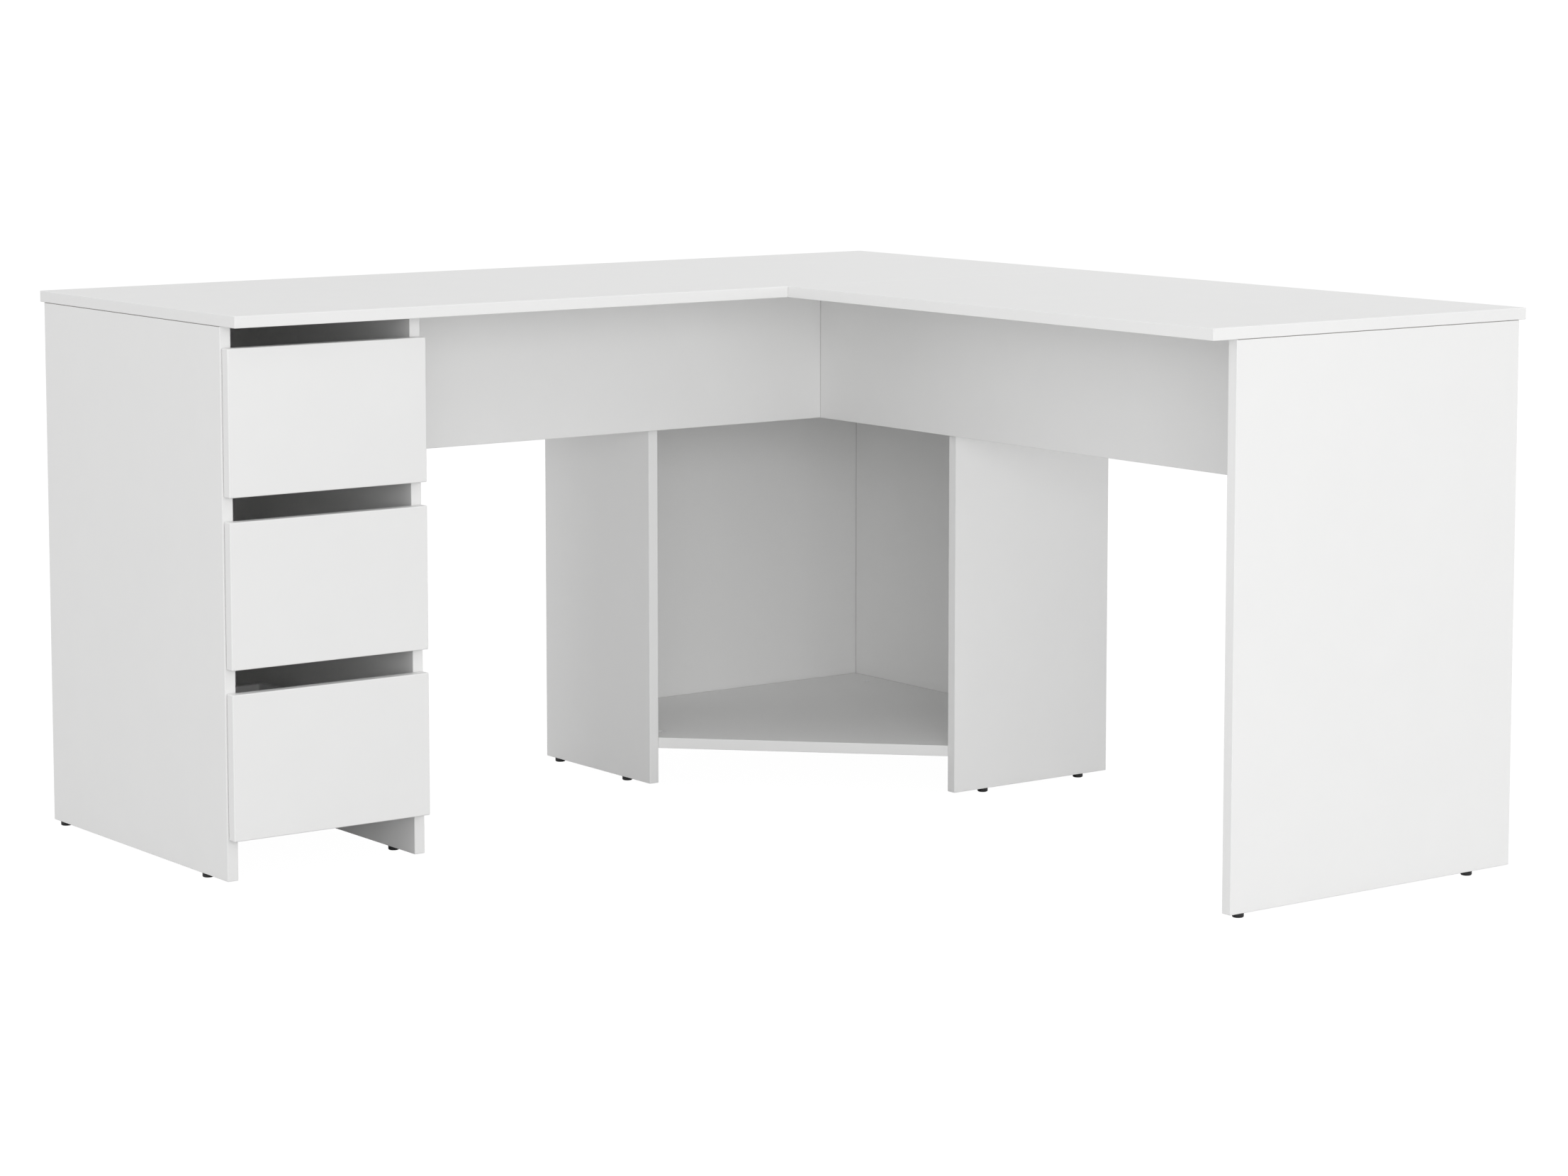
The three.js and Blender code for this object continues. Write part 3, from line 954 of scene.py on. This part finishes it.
@dataclass
class CamLock:
    """A cast cam lock: a drum with a rolled rim, a sunk face and a cross recess."""

    finishes: Finishes
    node: str
    sides: int = 96
    rim_round: float = 0.6 * MM
    rim_width: float = 1.3 * MM
    foot_steps: int = 4
    crown_steps: int = 5
    face_sink: float = 0.35 * MM
    cross_arm: float = 4.4 * MM
    cross_width: float = 2.2 * MM
    cross_taper: float = 0.5 * MM
    cross_depth: float = 2.2 * MM
    face_rings: int = 16

    def arm(self, along: np.ndarray, across: np.ndarray) -> np.ndarray:
        """How deep one arm of the cross is at each point.

        The share s falls from 1 to 0 across the taper, by the distance outside the box
        |along| < arm, |across| < width / 2, and is smoothed as s * s * (3 - 2 * s).

        Args:
            along: distance from the middle along the arm.
            across: distance from the arm's middle line.

        Returns:
            The share of the cross's full depth.
        """
        outside = np.maximum(along - self.cross_arm, across - self.cross_width / 2)
        share = np.clip(0.5 - outside / self.cross_taper, 0, 1)
        return share * share * (3 - 2 * share)

    def outline(self, radius: float, height: float) -> np.ndarray:
        """The drum's outline: up the side, over the rim and down the step to the face.

        Args:
            radius: the drum's radius.
            height: the drum's height.

        Returns:
            The points (m, 2) as (radius, rise), from the foot's middle to the step.
        """
        across, up = radius - self.rim_round, height - self.rim_round
        foot = arc((across, self.rim_round), self.rim_round, -90, 0, self.foot_steps)
        crown = arc((across, up), self.rim_round, 0, 90, self.crown_steps)
        inner = radius - self.rim_width
        step = [(inner, height), (inner, height - self.face_sink)]
        return np.concatenate([np.zeros((1, 2)), foot, crown, np.array(step)])

    def build(self) -> None:
        """Makes the drum as rings: over its outline, then inwards over the cut face."""
        low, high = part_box(self.node)
        radius, height = (high.x - low.x) / 2, high.z - low.z
        shell = self.outline(radius, height)
        rings = np.linspace(radius - self.rim_width - self.face_sink, 0, self.face_rings)
        face = np.stack([rings, np.full(self.face_rings, height - self.face_sink)], axis=1)
        outline = np.concatenate([shell, face])
        angle = np.linspace(0, 2 * np.pi, self.sides, endpoint=False)[None]
        x, y = outline[:, :1] * np.cos(angle), outline[:, :1] * np.sin(angle)
        cross = np.maximum(self.arm(np.abs(x), np.abs(y)), self.arm(np.abs(y), np.abs(x)))
        cross[: len(shell)] = 0
        rise = outline[:, 1:] - cross * self.cross_depth
        points = np.stack([x, y, rise], axis=-1) + np.array(middle(self.node, low.z))
        faces = ring_faces(len(outline), self.sides).tolist()
        name = f"{self.node}_drum"
        drum = mesh_piece(name, points.reshape(-1, 3), faces, self.finishes.zinc)
        stand_for(drum, self.node)


@dataclass
class CornerShelf:
    """The corner unit's shelf, with a bore for every cam lock."""

    finishes: Finishes
    node: str = "corner_shelf"
    cam_nodes: tuple[str, ...] = tuple(
        f"cam_{place}_{end}" for place in ("wall", "left", "right") for end in ("front", "rear")
    )
    bore_clearance: float = 0.2 * MM
    bore_sides: int = 48

    def outline(self) -> np.ndarray:
        """The shelf's box with the front corner cut off between the two panels.

        Returns:
            The corners (5, 2), anticlockwise from the left panel's front edge.
        """
        low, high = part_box(self.node)
        left_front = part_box("corner_left_panel")[0].y
        right_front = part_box("corner_right_panel")[0].x
        return np.array(
            [
                (low.x, left_front),
                (right_front, low.y),
                (high.x, low.y),
                (high.x, high.y),
                (low.x, high.y),
            ]
        )

    def cutter(self, cam: str) -> bpy.types.Object:
        """A turned plug as wide as a cam's bore, which sticks out of the shelf's face.

        Args:
            cam: the cam's CAD node.

        Returns:
            The plug.
        """
        low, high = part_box(cam)
        radius = (high.x - low.x) / 2 + self.bore_clearance
        depth = high.z - low.z + self.bore_clearance
        outline = np.array([(0, -depth), (radius, -depth), (radius, depth), (0, depth)])
        centre = middle(cam, high.z)
        return revolved("cutter", outline, self.bore_sides, self.finishes.melamine, centre)

    def build(self) -> None:
        """Makes the shelf, cuts its bores and dresses the cams."""
        low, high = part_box(self.node)
        shelf = slab(
            f"{self.node}_board",
            self.outline(),
            np.array([False, True, True, True, True]),
            (low.z, high.z),
            Axis.Z,
            BANDED,
            self.finishes.melamine,
        )
        for cam in self.cam_nodes:
            bore(shelf, self.cutter(cam))
            CamLock(self.finishes, cam).build()
        stand_for(shelf, self.node)


def bore(piece: bpy.types.Object, cutter: bpy.types.Object) -> None:
    """Cuts one solid out of another and removes the cutter.

    Args:
        piece: the piece that is bored.
        cutter: the solid that is cut out of it.
    """
    cut = piece.modifiers.new("bore", "BOOLEAN")
    cut.operation = "DIFFERENCE"
    cut.solver = "EXACT"
    cut.object = cutter
    graph = bpy.context.evaluated_depsgraph_get()
    result = bpy.data.meshes.new_from_object(piece.evaluated_get(graph))
    result.shade_smooth()
    result.set_sharp_from_angle(angle=CREASE_ANGLE)
    piece.modifiers.clear()
    piece.data = result
    mesh = cutter.data
    bpy.data.objects.remove(cutter)
    bpy.data.meshes.remove(mesh)


@dataclass
class Drawer:
    """One drawer: its front, its foil-wrapped box on a thin bottom, and its runners."""

    finishes: Finishes
    tier: str
    runner_softness: float = 0.35 * MM

    @property
    def name(self) -> str:
        """The name that the drawer's nodes start with."""
        return f"{self.tier}_drawer"

    def build(self) -> None:
        """Makes the front and the box, and dresses both halves of the runners."""
        front = f"{self.name}_front"
        stand_for(board_on(front, FRONT_EDGE, self.finishes.melamine), front)
        for part in ("left_side", "right_side", "back"):
            node = f"{self.name}_{part}"
            stand_for(board_on(node, WRAPPED, self.finishes.foil), node)
        bottom = f"{self.name}_bottom"
        stand_for(board_on(bottom, THIN, self.finishes.hardboard), bottom)
        for side in ("left", "right"):
            for node in (f"{self.name}_{side}_runner", f"cabinet_runner_{self.tier}_{side}"):
                keep_node(node, self.finishes.powder_coat, self.runner_softness)


@dataclass
class Glides:
    """The black glides under the uprights, turned, with a dished sole."""

    finishes: Finishes
    sides: int = 48
    rim: float = 1.8 * MM
    rim_steps: int = 7
    dish: float = 0.5 * MM
    dish_radius: float = 3.2 * MM
    dish_steps: int = 6
    top_round: float = 0.4 * MM
    top_steps: int = 4

    def outline(self, radius: float, height: float) -> np.ndarray:
        """The glide's outline: a dish, a flat ring, the rounded rim, and a flat top.

        The dish's rise at the share t of its radius is dish * (1 + cos(pi * t)) / 2.

        Args:
            radius: the glide's radius.
            height: the height of its flat top.

        Returns:
            The points (m, 2) as (radius, rise), from the sole's middle to the top's.
        """
        share = np.linspace(0, 1, self.dish_steps)
        hollow = self.dish * (1 + np.cos(np.pi * share)) / 2
        dish = np.stack([self.dish_radius * share, hollow], axis=1)
        rim = arc((radius - self.rim, self.rim), self.rim, -90, 0, self.rim_steps)
        shoulder = (radius - self.top_round, height - self.top_round)
        top = arc(shoulder, self.top_round, 0, 90, self.top_steps)
        return np.concatenate([dish, rim, top, np.array([(0, height)])])

    def build(self) -> None:
        """Makes a turned disc for every glide, up to the foot of the uprights."""
        plastic = self.finishes.black_plastic
        upright_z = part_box("end_panel")[0].z
        for node in sorted(name for name in frame["nodes"] if name.startswith("glide_")):
            low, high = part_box(node)
            outline = self.outline((high.x - low.x) / 2, upright_z)
            centre = middle(node, low.z)
            disc = revolved(f"{node}_disc", outline, self.sides, plastic, centre)
            stand_for(disc, node)


# ---- studio ----------------------------------------------------------------------------


@dataclass(frozen=True)
class Softbox:
    """A large area light that faces the desk.

    Azimuth 0 is in front of the drawers, at -Y, and 90 is at +X. The direction to the
    light is (sin a cos e, -cos a cos e, sin e) for azimuth a and elevation e.
    """

    name: str
    azimuth: float
    elevation: float
    power: float
    size: float = 2.6
    distance: float = 5.0

    def build(self, target: Vector) -> None:
        """Hangs the light and turns it to the target.

        Args:
            target: the point that the light faces.
        """
        data = bpy.data.lights.new(self.name, "AREA")
        data.shape = "DISK"
        data.size = self.size
        data.energy = self.power
        around, above = math.radians(self.azimuth), math.radians(self.elevation)
        level = math.cos(above)
        away = Vector((math.sin(around) * level, -math.cos(around) * level, math.sin(above)))
        light = bpy.data.objects.new(self.name, data)
        light.visible_camera = False
        light.visible_glossy = False
        light.location = target + away * self.distance
        light.rotation_mode = "QUATERNION"
        light.rotation_quaternion = away.to_track_quat("Z", "Y")
        bpy.context.scene.collection.objects.link(light)


@dataclass
class Studio:
    """The pale floor, the soft light and the camera."""

    floor_size: float = 60.0
    floor_colour: Colour = (0.45, 0.45, 0.45)
    floor_roughness: float = 0.8
    backdrop_light: float = 1.12
    shadow_share: float = 0.12
    sky_light: float = 0.71
    target: Vector = field(default_factory=lambda: Vector((0.0, 0.0, 0.4)))
    softboxes: tuple[Softbox, ...] = (
        Softbox("left_light", azimuth=-100, elevation=8, power=28.0),
        Softbox("front_left_light", azimuth=-35, elevation=8, power=39.0),
        Softbox("front_light", azimuth=-15, elevation=8, power=48.0),
        Softbox("right_light", azimuth=60, elevation=8, power=30.0),
        Softbox("high_right_light", azimuth=90, elevation=45, power=30.0),
    )
    camera_place: Vector = field(default_factory=lambda: Vector((-3.308, -4.515, 1.200)))
    camera_turn: float = 36.53
    camera_tilt: float = -6.27
    camera_lens: float = 92.8
    camera_sensor: float = 36.0
    camera_reach: float = 200.0
    camera_shift: float = -0.1
    exposure: float = 0.0
    gamma: float = 1.1

    def build(self) -> None:
        """Makes the floor, the light and the camera."""
        self.floor()
        self.sky()
        for softbox in self.softboxes:
            softbox.build(self.target)
        self.camera()
        view = bpy.context.scene.view_settings
        view.view_transform = "Standard"
        view.exposure, view.gamma = self.exposure, self.gamma

    def floor(self) -> None:
        """A flat floor that is nearly white to the camera and a plain grey to the light."""
        half = self.floor_size / 2
        points = half * np.array([(-1, -1, 0), (1, -1, 0), (1, 1, 0), (-1, 1, 0)])
        constants = {"Base Color": self.floor_colour, "Roughness": self.floor_roughness}
        shader = Shader("floor", constants)
        glow = shader.node("ShaderNodeEmission", {}, {"Strength": self.backdrop_light})
        path = shader.node("ShaderNodeLightPath", {}, {})
        share = Value(shader, path.outputs["Is Camera Ray"]) * (1.0 - self.shadow_share)
        surface = shader.surface.outputs["BSDF"]
        mix = shader.node("ShaderNodeMixShader", {}, {0: share, 1: surface, 2: glow.outputs[0]})
        shader.feed(shader.output.inputs["Surface"], mix.outputs[0])
        floor = mesh_piece("floor", points, [[0, 1, 2, 3]], shader.material)

    def sky(self) -> None:
        """An even sky that lights the desk and is white to the camera."""
        world = bpy.data.worlds.new("sky")
        world.use_nodes = True
        bpy.context.scene.world = world
        nodes, links = world.node_tree.nodes, world.node_tree.links
        light, seen = nodes["Background"], nodes.new("ShaderNodeBackground")
        for background, strength in ((light, self.sky_light), (seen, self.backdrop_light)):
            background.inputs["Strength"].default_value = strength
            background.inputs["Color"].default_value = (1.0, 1.0, 1.0, 1.0)
        path = nodes.new("ShaderNodeLightPath")
        mix = nodes.new("ShaderNodeMixShader")
        links.new(path.outputs["Is Camera Ray"], mix.inputs[0])
        links.new(light.outputs[0], mix.inputs[1])
        links.new(seen.outputs[0], mix.inputs[2])
        links.new(mix.outputs[0], nodes["World Output"].inputs["Surface"])

    def camera(self) -> None:
        """A long lens, turned towards the corner and tilted a little down."""
        data = bpy.data.cameras.new("camera")
        data.sensor_width = self.camera_sensor
        data.lens = self.camera_lens
        data.shift_y = self.camera_shift
        data.clip_end = self.camera_reach
        camera = bpy.data.objects.new("camera", data)
        camera.location = self.camera_place
        tilt = math.radians(90 + self.camera_tilt)
        camera.rotation_euler = (tilt, 0, -math.radians(self.camera_turn))
        bpy.context.scene.collection.objects.link(camera)
        bpy.context.scene.camera = camera


def main() -> None:
    """Builds every sub-assembly and the studio."""
    logging.basicConfig(level=logging.INFO, format="%(name)s: %(message)s")
    finishes = Finishes()
    Boards(finishes).build()
    CornerShelf(finishes).build()
    for tier in ("bottom", "middle", "top"):
        Drawer(finishes, tier).build()
    Glides(finishes).build()
    Studio().build()


if __name__ == "__main__":
    main()
